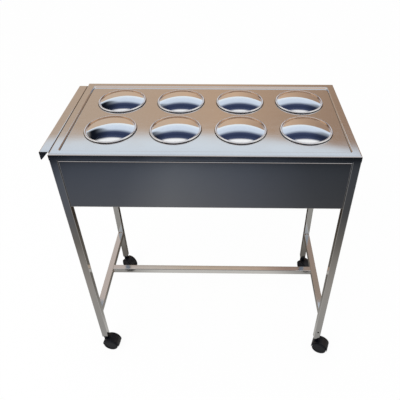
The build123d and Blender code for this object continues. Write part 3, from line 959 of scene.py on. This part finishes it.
class TROLLEY_OT_set_stage(bpy.types.Operator):
    """Set the floor, the cloths, the lights and the camera"""

    bl_idname = "trolley.set_stage"
    bl_label = "Studio"

    def execute(self, context):
        s = context.scene.trolley_stage
        self.floor(s)
        self.cloths(s)
        self.lights(context.scene, s)
        self.camera(context.scene, s)
        return {"FINISHED"}

    def floor(self, s):
        """Matt painted floor that looks white, with a trace of the trolley's shadow."""
        material, tree = new_material("Pale studio floor")
        seen = node(tree, "Math", {0: looking(tree), 1: 1 - s.floor_shadow}, operation="MULTIPLY")
        matt = node(tree, "BsdfDiffuse", {"Color": rgba(s.floor)})
        white = node(tree, "Emission", {"Color": (1, 1, 1, 1), "Strength": 1})
        both = node(tree, "MixShader", {0: seen, 1: matt, 2: white})
        node(tree, "OutputMaterial", {"Surface": both})
        half = s.floor_size / 2
        points = [(x, y, 0) for y in (-half, half) for x in (-half, half)]
        floor = add_object("studio_floor", sheet_mesh("studio_floor", points, 2))
        floor.data.materials.append(material)

    def cloths(self, s):
        """Tent, floor cloth and low card."""
        points = []
        for row in range(TENT_ROWS):
            rise = math.radians(TENT_FOOT + (90 - TENT_FOOT) * row / (TENT_ROWS - 1))
            level, height = s.tent_radius * math.cos(rise), s.tent_radius * math.sin(rise)
            for column in range(TENT_COLUMNS):
                turn = 2 * math.pi * column / (TENT_COLUMNS - 1)
                points.append((level * math.sin(turn), level * math.cos(turn), height))
        reflected("tent", points, TENT_COLUMNS, tent_cloth(s), (0, 0, s.tent_height))
        half = s.tent_radius
        flat = [(x, y, 0) for y in (-half, half) for x in (-half, half)]
        reflected("floor_cloth", flat, 2, floor_cloth(s), (0, 0, s.cloth_lift))
        wide, tall = s.card_width / 2, s.card_height / 2
        card = [(x, 0, z) for z in (-tall, tall) for x in (-wide, wide)]
        reflected("low_card", card, 2, low_cloth(s), (0, s.card_back, s.card_level))

    def lights(self, scene, s):
        """Even light from all round, white where it is seen, and one large soft lamp."""
        world = bpy.data.worlds.new("Studio")
        scene.world = world
        world.use_nodes = True
        tree = world.node_tree
        tree.nodes.clear()
        light = node(tree, "Background", {"Color": (1, 1, 1, 1), "Strength": s.world})
        white = node(tree, "Background", {"Color": (1, 1, 1, 1), "Strength": 1})
        both = node(tree, "MixShader", {0: looking(tree), 1: light, 2: white})
        node(tree, "OutputWorld", {"Surface": both})
        lamp = bpy.data.lights.new("key", "AREA")
        lamp.energy = s.key
        lamp.size = s.key_size
        key = bpy.data.objects.new("key", lamp)
        key.location = s.key_place
        key.rotation_euler = (Vector(s.key_aim) - key.location).to_track_quat("-Z", "Y").to_euler()
        key.visible_glossy = False
        scene.collection.objects.link(key)
        scene.view_settings.view_transform = "Standard"

    def camera(self, scene, s):
        """Camera at the photo's viewing angle."""
        lens = bpy.data.cameras.new("photo_camera")
        lens.lens = s.camera_lens
        lens.sensor_width = 36
        lens.shift_x, lens.shift_y = s.camera_shift
        made = bpy.data.objects.new("photo_camera", lens)
        aim = Euler((s.camera_tilt, 0, s.camera_pan)).to_matrix()
        aim = aim @ Matrix.Rotation(s.camera_roll, 3, "Z")
        made.matrix_world = Matrix.Translation(s.camera_place) @ aim.to_4x4()
        scene.collection.objects.link(made)
        scene.camera = made


GROUPS = {
    "trolley_finishes": TrolleyFinishes,
    "trolley_fittings": TrolleyFittings,
    "trolley_stage": TrolleyStage,
}
OPERATORS = (
    TROLLEY_OT_dress_worktop,
    TROLLEY_OT_make_seams,
    TROLLEY_OT_dress_panels,
    TROLLEY_OT_dress_frame,
    TROLLEY_OT_make_welds,
    TROLLEY_OT_dress_pots,
    TROLLEY_OT_dress_casters,
    TROLLEY_OT_make_fasteners,
    TROLLEY_OT_set_stage,
)


class TROLLEY_PT_sidebar(bpy.types.Panel):
    """Steps, finishes and sizes of the trolley"""

    bl_idname = "TROLLEY_PT_sidebar"
    bl_label = "Masala trolley"
    bl_space_type = "VIEW_3D"
    bl_region_type = "UI"
    bl_category = "Trolley"

    def draw(self, context):
        for operator in OPERATORS:
            self.layout.operator(operator.bl_idname)
        for name, group in GROUPS.items():
            values = getattr(context.scene, name)
            for value in group.__annotations__:
                self.layout.prop(values, value)


def register():
    for cls in (*GROUPS.values(), *OPERATORS, TROLLEY_PT_sidebar):
        bpy.utils.register_class(cls)
    for name, group in GROUPS.items():
        setattr(bpy.types.Scene, name, PointerProperty(type=group))


def unregister():
    for name in GROUPS:
        delattr(bpy.types.Scene, name)
    for cls in reversed((*GROUPS.values(), *OPERATORS, TROLLEY_PT_sidebar)):
        bpy.utils.unregister_class(cls)


def main():
    register()
    bpy.ops.trolley.dress_worktop()
    bpy.ops.trolley.make_seams()
    bpy.ops.trolley.dress_panels()
    bpy.ops.trolley.dress_frame()
    bpy.ops.trolley.make_welds()
    bpy.ops.trolley.dress_pots()
    bpy.ops.trolley.dress_casters()
    bpy.ops.trolley.make_fasteners()
    bpy.ops.trolley.set_stage()


if __name__ == "__main__":
    main()
